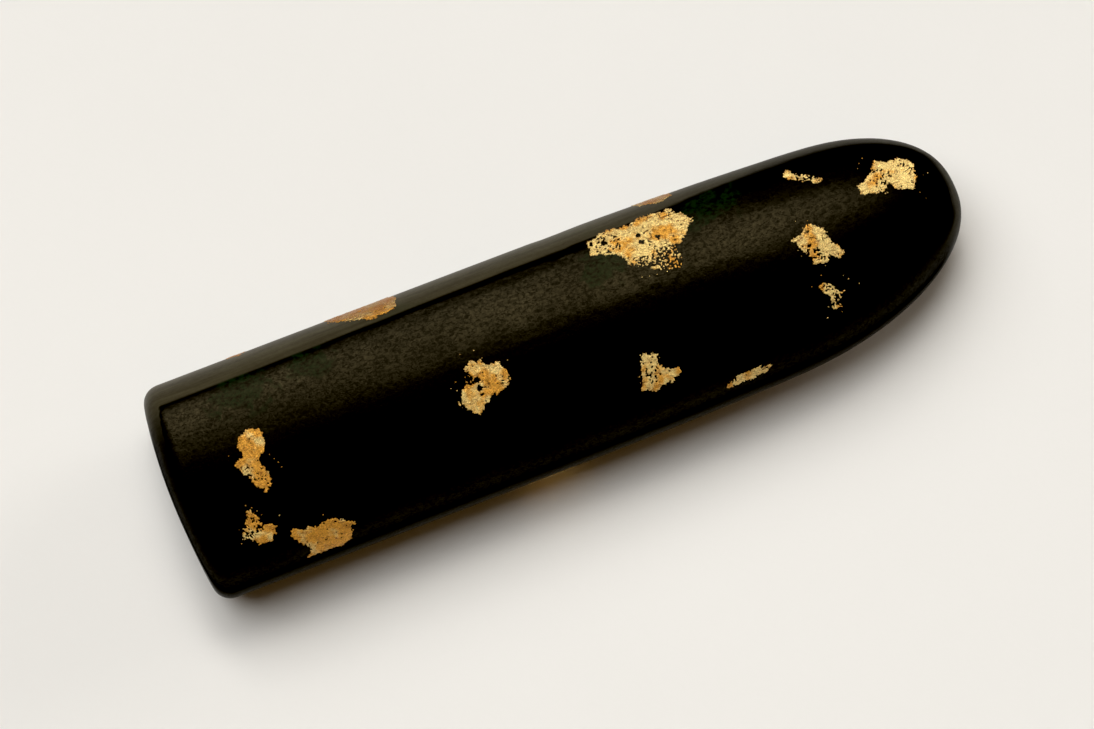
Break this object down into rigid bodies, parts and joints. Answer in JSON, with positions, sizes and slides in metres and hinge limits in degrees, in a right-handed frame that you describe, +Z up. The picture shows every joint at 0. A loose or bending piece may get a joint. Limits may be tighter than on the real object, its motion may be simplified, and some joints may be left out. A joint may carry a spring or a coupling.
{
  "type": "ink stick",
  "caption": "Solid moulded ink stick with a flat heel end, a rounded bullet nose and gold leaf flakes pressed into its skin.",
  "frame": {"origin": "bottom centre of the bounding box, on the flat underside", "axes": "+X along the stick towards the rounded nose, +Y across the stick, +Z up out of the crown"},
  "size_m": [0.09, 0.0243, 0.0123],
  "materials": {
    "ink": "satin",
    "gold_leaf": "crinkled leaf"
  },
  "bodies": {
    "root": {"ink_body": "ink", "leaf_heel_head": "gold_leaf", "leaf_heel_corner": "gold_leaf", "leaf_heel_arrow": "gold_leaf", "leaf_three_lobes": "gold_leaf", "leaf_heart": "gold_leaf", "leaf_large": "gold_leaf", "leaf_far_edge_heel": "gold_leaf", "leaf_far_edge_long": "gold_leaf", "leaf_far_edge_short": "gold_leaf", "leaf_far_low": "gold_leaf", "leaf_near_edge": "gold_leaf", "leaf_near_low": "gold_leaf", "leaf_nose_square": "gold_leaf", "leaf_nose_crumbs": "gold_leaf", "leaf_nose_round": "gold_leaf", "leaf_nose_streak": "gold_leaf", "leaf_underside_heel": "gold_leaf", "leaf_underside_left": "gold_leaf", "leaf_underside_middle": "gold_leaf", "leaf_underside_nose": "gold_leaf"}
  },
  "joints": []
}
